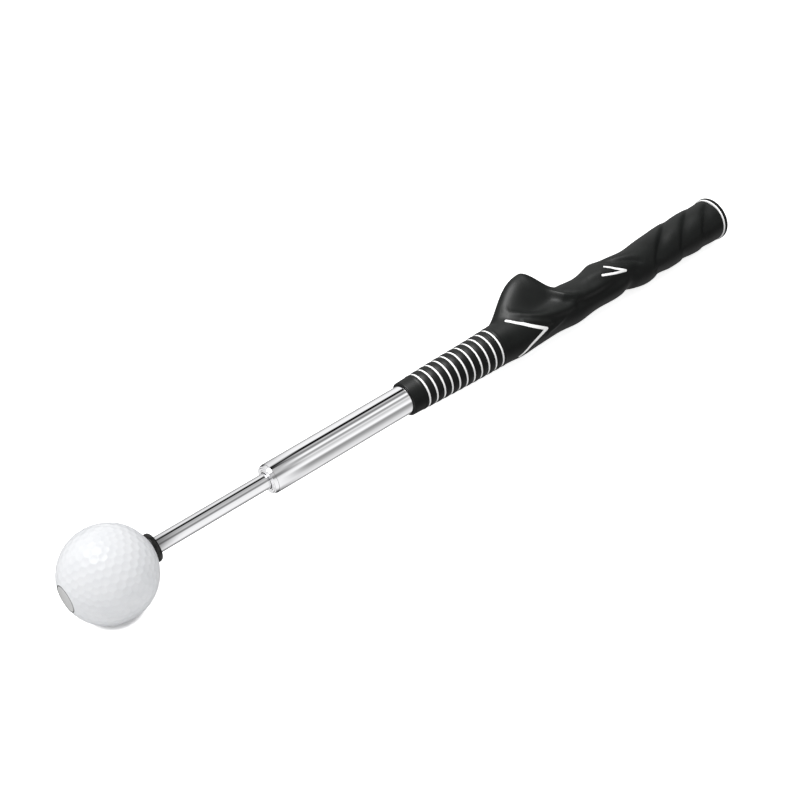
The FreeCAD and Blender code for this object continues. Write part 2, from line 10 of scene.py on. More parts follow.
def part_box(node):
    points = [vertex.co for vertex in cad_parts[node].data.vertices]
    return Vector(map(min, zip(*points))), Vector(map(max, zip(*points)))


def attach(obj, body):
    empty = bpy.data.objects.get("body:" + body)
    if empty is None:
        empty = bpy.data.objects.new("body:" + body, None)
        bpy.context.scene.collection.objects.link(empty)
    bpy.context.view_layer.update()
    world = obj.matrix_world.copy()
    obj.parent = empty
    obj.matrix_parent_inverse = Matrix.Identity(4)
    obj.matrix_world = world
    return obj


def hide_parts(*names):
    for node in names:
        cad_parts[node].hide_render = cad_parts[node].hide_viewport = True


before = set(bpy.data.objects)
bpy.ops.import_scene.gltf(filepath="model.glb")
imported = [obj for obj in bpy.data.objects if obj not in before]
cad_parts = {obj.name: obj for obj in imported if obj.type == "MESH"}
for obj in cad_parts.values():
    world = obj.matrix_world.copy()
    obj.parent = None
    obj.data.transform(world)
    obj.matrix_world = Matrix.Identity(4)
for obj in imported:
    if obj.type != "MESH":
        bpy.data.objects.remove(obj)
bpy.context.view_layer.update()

# Lengths below are in millimetres, and MM turns them into the frame's metres. The shaft is the
# X axis, the butt face is at x = 0 and the ball is towards -X, so the distance from the butt
# is -x.
MM = 0.001


def place(node):
    """Where a CAD node starts and ends along the shaft, in millimetres."""
    low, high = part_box(node)
    return low.x / MM, high.x / MM


def half_width(node):
    """A turned CAD node's outside radius, in millimetres."""
    low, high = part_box(node)
    return (high.z - low.z) / 2 / MM


# --- meshes ---


def new_object(name, points, faces, smooth=True):
    """A mesh object of points in metres, smooth or flat shaded."""
    mesh = bpy.data.meshes.new(name)
    mesh.from_pydata([tuple(p) for p in points], [], faces)
    mesh.validate()
    mesh.update()
    piece = bpy.data.objects.new(name, mesh)
    bpy.context.scene.collection.objects.link(piece)
    mesh.polygons.foreach_set("use_smooth", [smooth] * len(mesh.polygons))
    return piece


def grid_faces(rows, columns):
    """Quads of a grid of points whose rows and columns both run round in a ring."""
    faces = []
    for i in range(rows):
        here, there = i * columns, (i + 1) % rows * columns
        for j in range(columns):
            k = (j + 1) % columns
            faces.append((here + j, here + k, there + k, there + j))
    return faces


def mark_sharp(piece, degrees):
    """Keeps edges that turn more than the angle crisp."""
    bpy.context.view_layer.objects.active = piece
    piece.select_set(True)
    bpy.ops.object.shade_smooth_by_angle(angle=math.radians(degrees))
    piece.select_set(False)


def arc_corners(profile, steps):
    """A profile of (x, r, rounding) corners with each corner turned into an arc."""
    count = len(profile)
    out = []
    for i, (x, r, size) in enumerate(profile):
        here = np.array((x, r), float)
        if not size:
            out.append(here)
            continue
        before = np.array(profile[i - 1][:2], float) - here
        after = np.array(profile[(i + 1) % count][:2], float) - here
        before /= np.linalg.norm(before)
        after /= np.linalg.norm(after)
        start, end = here + before * size, here + after * size
        for step in range(steps + 1):
            t = step / steps
            out.append((1 - t) ** 2 * start + 2 * t * (1 - t) * here + t**2 * end)
    return out


TURNED_EDGE = 35             # degrees from which an edge of a turned piece stays crisp


def lathe(name, profile, segments=192, steps=6):
    """A turned piece from a closed (x, r, rounding) profile, in millimetres. A rounding is how
    far a corner is cut back before it is turned into an arc. Points on the axis are poles."""
    outline = arc_corners(profile, steps)
    points, rows = [], []
    for x, r in outline:
        if r == 0:
            rows.append([len(points)])
            points.append((x * MM, 0, 0))
            continue
        rows.append(list(range(len(points), len(points) + segments)))
        for j in range(segments):
            turn = math.tau * j / segments
            points.append((x * MM, r * MM * math.cos(turn), r * MM * math.sin(turn)))
    faces = []
    for i, row in enumerate(rows):
        other = rows[(i + 1) % len(rows)]
        if len(row) == 1 and len(other) == 1:
            continue
        for j in range(segments):
            k = (j + 1) % segments
            if len(row) == 1:
                faces.append((row[0], other[k], other[j]))
            elif len(other) == 1:
                faces.append((row[j], row[k], other[0]))
            else:
                faces.append((row[j], row[k], other[k], other[j]))
    piece = new_object(name, points, faces)
    mark_sharp(piece, TURNED_EDGE)
    return piece


# --- materials ---


def material(name):
    """A new material, with its node tree and its Principled shader."""
    mat = bpy.data.materials.new(name)
    mat.use_nodes = True
    shader = mat.node_tree.nodes["Principled BSDF"]
    return mat, mat.node_tree, shader


def add(tree, kind, inputs=None, **settings):
    """A new node, with its settings and its unlinked inputs."""
    node = tree.nodes.new(kind)
    for key, setting in settings.items():
        setattr(node, key, setting)
    for key, value in (inputs or {}).items():
        node.inputs[key].default_value = value
    return node


def object_coords(tree, scale=(1.0, 1.0, 1.0)):
    """The piece's own coordinates, stretched by a scale along each axis."""
    coords = add(tree, "ShaderNodeTexCoord")
    mapping = add(tree, "ShaderNodeMapping")
    mapping.inputs["Scale"].default_value = scale
    tree.links.new(coords.outputs["Object"], mapping.inputs["Vector"])
    return mapping.outputs["Vector"]


def noise(tree, vector, scale, detail=4.0, roughness=0.55):
    node = add(tree, "ShaderNodeTexNoise",
               {"Scale": scale, "Detail": detail, "Roughness": roughness})
    tree.links.new(vector, node.inputs["Vector"])
    return node.outputs["Fac"]


NOISE_SPREAD = (0.3, 0.7)    # where most values of a noise lie


def ramp(tree, source, low, high):
    """Turns a noise into colours between two."""
    node = add(tree, "ShaderNodeValToRGB")
    for element, position, colour in zip(node.color_ramp.elements, NOISE_SPREAD, (low, high)):
        element.position = position
        element.color = colour
    tree.links.new(source, node.inputs["Fac"])
    return node.outputs["Color"]


def spread(tree, source, low, high):
    """Spreads a 0 to 1 value between two values."""
    node = add(tree, "ShaderNodeMapRange", {"To Min": low, "To Max": high})
    tree.links.new(source, node.inputs["Value"])
    return node.outputs["Result"]


def bump(tree, shader, height, strength, distance):
    """Lets a height shape the light on the surface. The distance is in metres."""
    node = add(tree, "ShaderNodeBump", {"Strength": strength, "Distance": distance})
    tree.links.new(height, node.inputs["Height"])
    tree.links.new(node.outputs["Normal"], shader.inputs["Normal"])


def grey(value):
    return (value, value, value, 1.0)


def rubber_material(name, dark, light, roughness, gloss):
    """Moulded rubber: a fine matte grain, slightly uneven in tone and in sheen. Gloss is the
    strength of its reflection."""
    mat, tree, shader = material(name)
    where = object_coords(tree)
    cloud = noise(tree, where, 90.0, 3.0)
    grain = noise(tree, where, 5200.0, 2.0, 0.6)
    tree.links.new(ramp(tree, cloud, dark, light), shader.inputs["Base Color"])
    tree.links.new(spread(tree, cloud, roughness - 0.05, roughness + 0.05),
                   shader.inputs["Roughness"])
    shader.inputs["Specular IOR Level"].default_value = gloss
    bump(tree, shader, grain, 0.25, 0.00006)
    return mat


def chrome_material(name, tint, roughness):
    """Plated tube: a mirror with faint drawing marks along the tube and soft wear."""
    mat, tree, shader = material(name)
    drawn = noise(tree, object_coords(tree, (20.0, 2600.0, 2600.0)), 1.0, 3.0)
    cloud = noise(tree, object_coords(tree), 60.0, 4.0)
    shader.inputs["Metallic"].default_value = 1.0
    bright = tuple(min(1.0, channel * 1.04) for channel in tint[:3]) + (1.0,)
    tree.links.new(ramp(tree, cloud, tint, bright), shader.inputs["Base Color"])
    tree.links.new(spread(tree, cloud, roughness * 0.7, roughness * 1.5),
                   shader.inputs["Roughness"])
    bump(tree, shader, drawn, 0.05, 0.000004)
    return mat


def ball_material():
    """White urethane: faintly blue, with a thin clear coat."""
    mat, tree, shader = material("ball_white")
    where = object_coords(tree)
    cloud = noise(tree, where, 120.0, 3.0)
    tree.links.new(ramp(tree, cloud, (0.84, 0.855, 0.88, 1), (0.89, 0.90, 0.92, 1)),
                   shader.inputs["Base Color"])
    tree.links.new(spread(tree, cloud, 0.30, 0.40), shader.inputs["Roughness"])
    shader.inputs["Coat Weight"].default_value = 0.15
    shader.inputs["Coat Roughness"].default_value = 0.20
    bump(tree, shader, noise(tree, where, 2400.0, 2.0), 0.06, 0.00003)
    return mat


def plastic_material(name, low, high, roughness, coat=0.0):
    """Moulded plastic: slightly uneven in tone and in sheen, with a fine grain."""
    mat, tree, shader = material(name)
    where = object_coords(tree)
    cloud = noise(tree, where, 200.0, 3.0)
    tree.links.new(ramp(tree, cloud, low, high), shader.inputs["Base Color"])
    tree.links.new(spread(tree, cloud, roughness - 0.04, roughness + 0.06),
                   shader.inputs["Roughness"])
    shader.inputs["Coat Weight"].default_value = coat
    bump(tree, shader, noise(tree, where, 3000.0, 2.0), 0.12, 0.00004)
    return mat


def turned_metal_material(name, low, high, roughness):
    """Turned metal: fine rings round the shaft's axis."""
    mat, tree, shader = material(name)
    rings = noise(tree, object_coords(tree, (9000.0, 60.0, 60.0)), 1.0, 3.0)
    shader.inputs["Metallic"].default_value = 1.0
    tree.links.new(ramp(tree, rings, low, high), shader.inputs["Base Color"])
    tree.links.new(spread(tree, rings, roughness - 0.06, roughness + 0.08),
                   shader.inputs["Roughness"])
    bump(tree, shader, rings, 0.2, 0.00002)
    return mat


def tape_material():
    """Crepe paper tape: cross ribs and mottled cream colour."""
    mat, tree, shader = material("tape")
    where = object_coords(tree)
    crepe = noise(tree, where, 1500.0, 4.0, 0.7)
    tree.links.new(ramp(tree, crepe, (0.55, 0.50, 0.38, 1), (0.75, 0.70, 0.57, 1)),
                   shader.inputs["Base Color"])
    shader.inputs["Roughness"].default_value = 0.85
    bump(tree, shader, crepe, 0.5, 0.00008)
    return mat


GRIP_RUBBER = rubber_material("grip_rubber", (0.0034, 0.0038, 0.0036, 1),
                              (0.0052, 0.0058, 0.0055, 1), 0.46, 0.13)
COLLAR_RUBBER = rubber_material("collar_black", grey(0.006), grey(0.010), 0.22, 0.40)
# Painted shade: the dark grey of the ring that fills the gap round the end cap.
GAP_SHADE_GREY = rubber_material("cap_gap_shade", grey(0.05), grey(0.09), 0.5, 0.3)
INLAY_WHITE = plastic_material("inlay_white", grey(0.90), grey(0.96), 0.42)
CHROME = chrome_material("chrome", (0.93, 0.93, 0.945, 1), 0.015)
BALL_WHITE = ball_material()
CAP_GREY = plastic_material("end_cap_grey", grey(0.60), grey(0.68), 0.35, 0.2)
BRASS = turned_metal_material("brass", (0.60, 0.45, 0.20, 1), (0.80, 0.64, 0.34, 1), 0.26)
STEEL = turned_metal_material("steel", grey(0.48), grey(0.66), 0.25)
SPRING_STEEL = turned_metal_material("spring_steel", grey(0.30), grey(0.45), 0.30)
NYLON = plastic_material("sleeve_nylon", (0.66, 0.66, 0.60, 1), (0.78, 0.78, 0.73, 1), 0.45)
CORE_RUBBER = rubber_material("ball_core_rubber", (0.10, 0.17, 0.21, 1),
                              (0.16, 0.24, 0.28, 1), 0.6, 0.3)
TAPE = tape_material()


def dress(piece, finish, body, slot, *nodes):
    """Gives a piece its material and its body, and hides its CAD nodes. The slot is not used."""
    piece.data.materials.clear()
    piece.data.materials.append(finish)
    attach(piece, body)
    if nodes:
        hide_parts(*nodes)


# --- ball head ---

BALL_RADIUS = half_width("ball_cover")
CAP_FACE, CAP_BACK = place("ball_end_cap")
HOLE_RADIUS = half_width("ball_insert")
COLLAR_LOW, COLLAR_HIGH = place("ball_collar")
BALL_CENTRE = (CAP_FACE + COLLAR_LOW) / 2    # half way from the end cap to the collar's foot
ROD_RADIUS = half_width("tip_rod")
COVER_WALL = 1.8
COVER_EDGE = 50              # degrees from which an edge of the cover stays crisp
RIM_ROUND = 0.25             # how far the drilled rims are eased, outwards and inwards
RIM_DEPTH = 0.15
PLAIN_RIM = 0.5              # the dimples fade out over this distance from a rim
DIMPLE_FREQUENCY = 7         # dimples along each edge of the icosahedron
DIMPLE_DEPTH = 0.25
DIMPLE_REACH = 0.56          # the half width of a dimple, in pitches
DIMPLE_FULLNESS = 1.2        # 1 gives a bowl, more a softer rim
DIMPLE_TILT = 0.4            # how the pattern is turned, in radians
DIMPLE_ROLL = 0.7
CAP_GAP = 0.45               # round the end cap, filled by a dark ring of painted shade
CAP_WALL = 0.8
CAP_THICK = 2.0
# The radii of that ring of painted shade.
GAP_SHADE_OUTER = HOLE_RADIUS - 0.02
GAP_SHADE_INNER = HOLE_RADIUS - 0.50
COLLAR_SWELL = 0.25          # how much fuller the collar is than in the CAD model
ROD_PLAY = 0.03              # round the rod, in the collar and in the wiper


def icosahedron():
    """The corners of an icosahedron in a unit sphere."""
    golden = (1 + math.sqrt(5)) / 2
    corners = []
    for a in (-1, 1):
        for b in (-golden, golden):
            corners += [(0, a, b), (a, b, 0), (b, 0, a)]
    corners = np.array(corners, float)
    return corners / np.linalg.norm(corners[0])


def dimple_centres(frequency):
    """Points spread over a unit sphere: each face of an icosahedron, divided in triangles."""
    corners = icosahedron()
    edge = min(np.linalg.norm(corners[0] - c) for c in corners[1:])
    points = {}
    for trio in itertools.combinations(corners, 3):
        sides = [np.linalg.norm(trio[n] - trio[n - 1]) for n in range(3)]
        if max(sides) > 1.01 * edge:
            continue
        for a in range(frequency + 1):
            for b in range(frequency + 1 - a):
                c = frequency - a - b
                point = (a * trio[0] + b * trio[1] + c * trio[2]) / frequency
                point /= np.linalg.norm(point)
                points[tuple(np.round(point, 6))] = point
    return np.array(list(points.values()))


def turned_centres():
    """The dimples' centres, turned so that no dimple sits square in the drilled ends."""
    tilt = Matrix.Rotation(DIMPLE_TILT, 3, "Z")
    roll = Matrix.Rotation(DIMPLE_ROLL, 3, "X")
    return dimple_centres(DIMPLE_FREQUENCY) @ np.array(tilt @ roll).T


def dimpled_radius(directions, centres):
    """The ball's radius in each direction: shallow dimples that meet in soft ridges."""
    pitch = math.sqrt(4 * math.pi / len(centres) * 2 / math.sqrt(3))
    angle = np.arccos(np.clip((directions @ centres.T).max(1), -1, 1))
    share = np.clip(angle / (DIMPLE_REACH * pitch), 0, 1)
    return BALL_RADIUS - DIMPLE_DEPTH * (1 - share**2) ** DIMPLE_FULLNESS


def make_ball_cover():
    """The dimpled cover, with its drilled hole, as rings of points from end to end."""
    columns, rows, inner_rows = 420, 190, 24
    centres = turned_centres()
    rim = math.asin((HOLE_RADIUS + RIM_ROUND) / BALL_RADIUS)
    turn = np.linspace(0, math.tau, columns, endpoint=False)
    points = []
    for step in range(rows + 1):
        polar = rim + (math.pi - 2 * rim) * step / rows
        ring = np.stack([np.full(columns, -math.cos(polar)), math.sin(polar) * np.cos(turn),
                         math.sin(polar) * np.sin(turn)], -1)
        radius = dimpled_radius(ring, centres)
        # The rims are plain, so that the cap and the collar sit on a true circle.
        edge = min(polar - rim, math.pi - rim - polar) * BALL_RADIUS
        calm = min(1.0, edge / PLAIN_RIM)
        radius = BALL_RADIUS + (radius - BALL_RADIUS) * calm
        points.append(ring * radius[:, None])
    wall = math.sqrt(BALL_RADIUS**2 - HOLE_RADIUS**2)
    inner = BALL_RADIUS - COVER_WALL
    inside = [(wall - RIM_DEPTH, HOLE_RADIUS)]
    hole_angle = math.asin(HOLE_RADIUS / inner)
    for step in range(inner_rows + 1):
        polar = hole_angle + (math.pi - 2 * hole_angle) * step / inner_rows
        inside.append((inner * math.cos(polar), inner * math.sin(polar)))
    inside.append((-wall + RIM_DEPTH, HOLE_RADIUS))
    for x, r in inside:
        points.append(np.stack([np.full(columns, x), r * np.cos(turn), r * np.sin(turn)], -1))
    flat = np.concatenate(points)
    flat[:, 0] += BALL_CENTRE
    piece = new_object("dimpled_cover", flat * MM, grid_faces(len(points), columns))
    mark_sharp(piece, COVER_EDGE)
    dress(piece, BALL_WHITE, "ball_rod", "ball_white", "ball_cover")


def make_end_cap():
    """The flush cap: a disc with an eased rim, a hair smaller than its hole."""
    radius = HOLE_RADIUS - CAP_GAP
    piece = lathe("end_cap_disc", [
        (CAP_FACE, 0, 0),
        (CAP_FACE, radius, 0.35),
        (CAP_BACK, radius, 0),
        (CAP_BACK, radius - CAP_WALL, 0),
        (CAP_FACE + CAP_THICK, radius - CAP_WALL, 0),
        (CAP_FACE + CAP_THICK, 0, 0),
    ])
    dress(piece, CAP_GREY, "ball_rod", "end_cap_grey", "ball_end_cap")


def make_cap_gap_shade():
    """A thin dark ring in the gap round the cap: painted shade for that gap."""
    piece = lathe("cap_gap_shade_ring", [
        (CAP_FACE + 0.12, GAP_SHADE_INNER, 0),
        (CAP_FACE + 0.02, HOLE_RADIUS - 0.25, 0.1),
        (CAP_FACE + 0.12, GAP_SHADE_OUTER, 0),
        (CAP_FACE + 0.80, GAP_SHADE_OUTER, 0),
        (CAP_FACE + 0.80, GAP_SHADE_INNER, 0),
    ])
    dress(piece, GAP_SHADE_GREY, "ball_rod", "collar_black")


def make_collar():
    """The glossy ring, sunk a hair into the ball and rounded towards the rod."""
    foot = COLLAR_LOW - 0.05
    radius = half_width("ball_collar") + COLLAR_SWELL
    piece = lathe("collar_ring", [
        (foot, ROD_RADIUS + ROD_PLAY, 0),
        (foot, radius, 0.6),
        (COLLAR_HIGH, radius, 1.6),
        (COLLAR_HIGH, ROD_RADIUS + ROD_PLAY, 0.5),
    ], steps=10)
    dress(piece, COLLAR_RUBBER, "ball_rod", "collar_black", "ball_collar")


make_ball_cover()
make_end_cap()
make_cap_gap_shade()
make_collar()

# --- telescopic tubes ---

ROD_WALL = 0.7
WIPER_RADIUS = ROD_RADIUS + 0.40
LIP_GAP = 0.05               # between a tube and the rolled-in mouth around it
LIP_LENGTH = 1.6             # how deep the rolled-in mouth is
LIP_ROUND = 0.18
LIP_SLOPE = 0.3              # the lip runs out into the bore over this length
TUBE_SEGMENTS = 256


def make_tube(name, node, body, wall, lip_radius, nose=0.10, nose_length=0.12, rim=0.15):
    """A plated tube with its mouth rolled in to the lip's radius. The nose is how much the
    outside narrows at the mouth, over the nose length, and the rim is its rounding."""
    start, end = place(node)
    radius = half_width(node)
    bore = radius - wall
    piece = lathe(name, [
        (start + LIP_LENGTH, lip_radius, 0.0),
        (start, lip_radius, LIP_ROUND),
        (start, radius - nose, rim),
        (start + nose_length, radius, 0.2),
        (end, radius, 0.1),
        (end, bore, 0.0),
        (start + LIP_LENGTH + LIP_SLOPE, bore, 0.0),
    ], TUBE_SEGMENTS)
    dress(piece, CHROME, body, "chrome", node)


def make_rod():
    """The plain thin tube that carries the ball."""
    start, end = place("tip_rod")
    piece = lathe("ball_rod_tube", [
        (start, ROD_RADIUS - ROD_WALL, 0),
        (start, ROD_RADIUS, 0.15),
        (end, ROD_RADIUS, 0.15),
        (end, ROD_RADIUS - ROD_WALL, 0),
    ], TUBE_SEGMENTS)
    dress(piece, CHROME, "ball_rod", "chrome", "tip_rod")


def make_wiper():
    """The thin black ring in the innermost mouth that wipes the rod."""
    mouth = place("second_stage_tube")[0]
    front, back = mouth + 0.15, mouth + 1.5
    piece = lathe("mouth_wiper_ring", [
        (front, ROD_RADIUS + ROD_PLAY, 0.05),
        (front, WIPER_RADIUS, 0.05),
        (back, WIPER_RADIUS, 0),
        (back, ROD_RADIUS + ROD_PLAY, 0),
    ], TUBE_SEGMENTS)
    dress(piece, GRIP_RUBBER, "second_stage", "collar_black")


make_rod()
make_tube("second_stage_chrome", "second_stage_tube", "second_stage", wall=0.5,
          lip_radius=WIPER_RADIUS + 0.02)
make_wiper()
make_tube("first_stage_chrome", "first_stage_tube", "first_stage", wall=0.55,
          lip_radius=half_width("second_stage_tube") + LIP_GAP)
make_tube("outer_chrome", "outer_tube", "handle", wall=0.7,
          lip_radius=half_width("first_stage_tube") + LIP_GAP,
          nose=0.50, nose_length=1.7, rim=0.35)

# --- grip ---

# The same moulded form as the CAD model's: a radius for each distance from the butt and each
# angle round the shaft, 0 on the fin's crest and 90 degrees on the side of the thumb scoop.
LIE_ANGLE = 38.0
GIRTH = ((0, 10.9), (20, 11.2), (40, 11.0), (58, 10.7), (72, 10.3), (95, 10.0), (117, 10.1),
         (137, 10.6), (160, 9.95), (186, 9.25), (212, 8.35))
FIN_FRONT = 151.5
FIN_CREST = 123.2
FIN_REAR = 108.0
FIN_HEIGHT = 14.2
FIN_SIDES = (23.0, 30.0)     # half angles on the thumb scoop's side and on the other side
FIN_FULLNESS = (1.25, 2)     # how sharply the front and the rear slopes start
# Swells and hollows: distance from the butt, angle, height, half length and half angle.
SWELLS = (
    (144.5, 180, 0.5, 6.0, 70),
    (106.5, 180, 1.2, 9.0, 60),
    (83.8, 0, 1.1, 4.8, 45),
    (82.0, 180, 0.3, 6.0, 50),
    (58.0, 185, 1.2, 7.0, 55),
    (40.0, 185, 0.3, 5.0, 60),
    (62.0, -5, -1.6, 10.0, 50),
    (47.0, -5, -0.5, 9.0, 50),
    (168.0, 0, -0.45, 22.0, 60),
    (168.0, 180, 0.2, 22.0, 60),
    (97.0, -5, -0.9, 7.0, 45),
    (127.0, 56, -1.8, 13.0, 24),
    (102.0, 42, -0.7, 7.0, 22),
)
# Ridges and valleys that run over the surface: the half width on the butt's side and on the
# mouth's side, then points with a distance from the butt, an angle and a height.
RIDGES = (
    # the lip round the foot of the thumb scoop
    ((2.2, 2.2), (
        (143.5, 14, 0.2), (142.3, 32, 0.9), (138.7, 49, 1.3), (134.9, 66, 1.5), (130.3, 82, 1.6),
        (125.1, 92, 1.6), (119.8, 98, 1.5), (114.7, 102, 1.3), (111.1, 101, 1.0),
        (108.8, 95, 0.6), (108.5, 86, 0.0),
    )),
    # the saddle ridge, from the fin's rear slope to the second swell
    ((2.5, 2.5), (
        (122.0, 14, 0.4), (120.2, 21, 0.9), (117.5, 28, 1.4), (115.3, 39, 2.0), (112.3, 65, 2.2),
        (108.5, 81, 2.1), (103.0, 92, 1.8), (96.3, 96, 1.4), (90.4, 95, 1.0), (84.7, 96, 0.4),
    )),
    # the valley under the saddle ridge
    ((3.0, 3.0), (
        (110.0, 86, 0.0), (107.2, 98, -0.5), (99.4, 108, -0.9), (91.3, 114, -0.9),
        (82.7, 112, -0.8), (75.7, 108, -0.8), (69.0, 106, -0.6), (63.6, 104, -0.2),
    )),
    # the ledge over the large V
    ((1.3, 1.3), (
        (141.5, 66, 0.0), (140.2, 72, 0.4), (134.4, 91, 0.6), (127.1, 112, 0.6), (124.0, 120, 0.0),
    )),
    # the fold behind the large V's tip
    ((1.3, 1.3), (
        (131.0, 150, 0.0), (128.5, 134, 0.5), (124.5, 130, 0.6), (120.6, 125, 0.5),
        (116.0, 118, 0.0),
    )),
    # the bump under the small V
    ((3.4, 4.0), (
        (94.0, 50, 0.3), (86.0, 64, 0.9), (78.0, 78, 1.0), (71.0, 91, 1.0), (64.5, 97, 0.4),
    )),
    # the crease above the small V
    ((2.4, 1.1), (
        (84.0, 12, 0.0), (79.4, 31, -1.0), (75.6, 45, -1.5), (71.1, 62, -1.6), (66.3, 80, -1.5),
        (63.2, 92, -1.0), (60.5, 102, 0.0),
    )),
    # the finger valleys, from the thumb side to the butt
    ((4.0, 3.2), (
        (63.5, 96, 0.0), (65.9, 108, -0.6), (70.0, 132, -0.9), (71.5, 165, -1.1),
        (71.5, 195, -1.0), (74.0, 240, -0.6), (79.0, 300, -0.3), (80.0, 340, 0.0),
    )),
    ((4.5, 1.9), (
        (26.0, -30, -0.3), (28.0, 0, -0.5), (32.0, 22, -0.8), (37.4, 44, -1.2), (42.5, 64, -1.3),
        (47.1, 82, -1.3), (52.0, 109, -1.0), (52.8, 137, -0.8), (49.5, 180, -0.6),
        (43.0, 230, -0.5), (34.0, 290, -0.4), (26.0, 330, -0.3),
    )),
    ((4.5, 1.9), (
        (7.0, -30, -0.3), (10.0, 0, -0.4), (16.0, 28, -0.8), (22.8, 54, -1.1), (27.5, 74, -1.2),
        (31.0, 92, -1.2), (33.7, 115, -0.9), (33.7, 130, -0.7), (30.0, 180, -0.7),
        (24.0, 230, -0.5), (13.0, 290, -0.4), (7.0, 330, -0.3),
    )),
    ((4.5, 1.9), (
        (1.0, 30, 0.0), (5.0, 48, -0.6), (9.7, 65, -1.0), (14.0, 88, -1.1), (17.0, 108, -0.9),
        (17.3, 144, -0.6), (15.0, 180, -0.5), (8.0, 230, -0.4), (3.0, 260, 0.0),
    )),
)
AROUND = 0.19                # millimetres of surface for each degree round the grip
GRIP_LENGTH = -place("grip_body")[0]
SEAT = -place("grip_body")[1]    # where the grip ends against the butt ring
TUBE_RADIUS = half_width("outer_tube")
RING_FIRST = 203.3
RING_PITCH = 4.48
RING_COUNT = 11
RING_HALF = 0.50             # half the width of a white ring
RING_EDGE = 60               # degrees, as for the cover
BAND_CROWN = 0.16            # the bands between the rings bulge by this much
GROOVE_DEPTH = 0.42
GROOVE_HALF = 0.60           # half the width of a ring's groove, with its sloping sides
GROOVE_SLOPE = 0.10
NEAR_GROOVE = (0.0, 0.3, 0.46, 0.5, 0.56, 0.64, 0.75)    # rows of the skin round a groove
MARK_GROOVE_DEPTH = 0.40
MARK_GROOVE_PLAY = 0.14      # how much wider than the mark its groove is, on each side
MARK_GROOVE_SLOPE = 0.16
SKIN_COLUMNS = 400
SKIN_STEP = 0.33
SKIN_END = 0.3               # the rows of the skin stop this far from the grip's ends
CROWDING = 14.0              # degrees by which the columns crowd towards the fin
# The grip's mouth: how far back from its end, and how far in from the skin.
MOUTH_ROLL = ((0.18, 0.03), (0.06, 0.12), (0.0, 0.3))
# The same for the bore behind it, with the play round the tube.
MOUTH_BORE = ((0.0, 0.35), (0.1, 0.12), (0.5, 0.04))
BORE_PLAY = 0.04


def through(points, where):
    """A smooth curve through the points (Catmull-Rom), for an array of places."""
    xs = np.array([p[0] for p in points], float)
    ys = np.array([p[1] for p in points], float)
    xs = np.concatenate([[2 * xs[0] - xs[1]], xs, [2 * xs[-1] - xs[-2]]])
    ys = np.concatenate([[2 * ys[0] - ys[1]], ys, [2 * ys[-1] - ys[-2]]])
    where = np.clip(where, xs[1], xs[-2])
    i = np.clip(np.searchsorted(xs, where, side="right") - 1, 1, len(xs) - 3)
    width = xs[i + 1] - xs[i]
    t = (where - xs[i]) / width
    slope1 = (ys[i + 1] - ys[i - 1]) / (xs[i + 1] - xs[i - 1]) * width
    slope2 = (ys[i + 2] - ys[i]) / (xs[i + 2] - xs[i]) * width
    return (
        ys[i] * (2 * t**3 - 3 * t**2 + 1)
        + slope1 * (t**3 - 2 * t**2 + t)
        + ys[i + 1] * (3 * t**2 - 2 * t**3)
        + slope2 * (t**3 - t**2)
    )


def turn_between(angle, other):
    """The turn from one angle to another, from -180 to 180 degrees."""
    return (angle - other + 180) % 360 - 180


def fin(distance, angle):
    """How far the thumb fin stands out."""
    front = np.clip((FIN_FRONT - distance) / (FIN_FRONT - FIN_CREST), 0, 1)
    rear = np.clip((distance - FIN_REAR) / (FIN_CREST - FIN_REAR), 0, 1)
    rise = np.where(distance > FIN_CREST, np.sin(np.pi / 2 * front) ** FIN_FULLNESS[0],
                    np.sin(np.pi / 2 * rear) ** FIN_FULLNESS[1])
    away = turn_between(angle, 0)
    half_angle = np.where(away > 0, *FIN_SIDES)
    return FIN_HEIGHT * rise * np.exp(-((away / half_angle) ** 2))


def ridge(distance, angle, half_widths, points):
    """The height of a ridge or a valley at each place: full on its line, less to the sides."""
    nearest = np.full(distance.shape, np.inf)
    level = np.zeros(distance.shape)
    for (start, start_turn, low), (end, end_turn, high) in zip(points, points[1:]):
        run = end - start
        climb = (end_turn - start_turn) * AROUND
        for lap in (-360, 0, 360):
            along = distance - start
            around = (angle + lap - start_turn) * AROUND
            share = np.clip((along * run + around * climb) / (run**2 + climb**2), 0, 1)
            gap = np.hypot(along - share * run, around - share * climb)
            half_width = np.where(run * around > climb * along, half_widths[0], half_widths[1])
            height = (low + (high - low) * share) * np.exp(-((gap / half_width) ** 2))
            level = np.where(gap < nearest, height, level)
            nearest = np.minimum(gap, nearest)
    return level


def grip_radius(distance, angle):
    """The radius of the moulded form, without its grooves."""
    distance, angle = np.broadcast_arrays(np.asarray(distance, float), np.asarray(angle, float))
    radius = through(GIRTH, distance) + fin(distance, angle)
    for middle, turn, height, half_length, half_angle in SWELLS:
        along = (distance - middle) / half_length
        around = turn_between(angle, turn) / half_angle
        radius = radius + height * np.exp(-(along**2) - around**2)
    for half_widths, points in RIDGES:
        radius = radius + ridge(distance, angle, half_widths, points)
    return radius


def grip_points(distance, angle, radius):
    """Points of the grip, in metres. The fin leans over at the lie angle."""
    turn = np.radians(LIE_ANGLE + angle)
    return np.stack([-distance * np.ones_like(turn), radius * np.cos(turn),
                     radius * np.sin(turn)], -1) * MM


def grip_circle(distance, angles, radius):
    """A true circle of points, or a loop with a radius for each angle."""
    return grip_points(np.full(len(angles), distance), angles, np.full(len(angles), radius))


def ring_places():
    """The middles of the white rings, from the grip's mouth towards the butt."""
    return [RING_FIRST - RING_PITCH * i for i in range(RING_COUNT)]


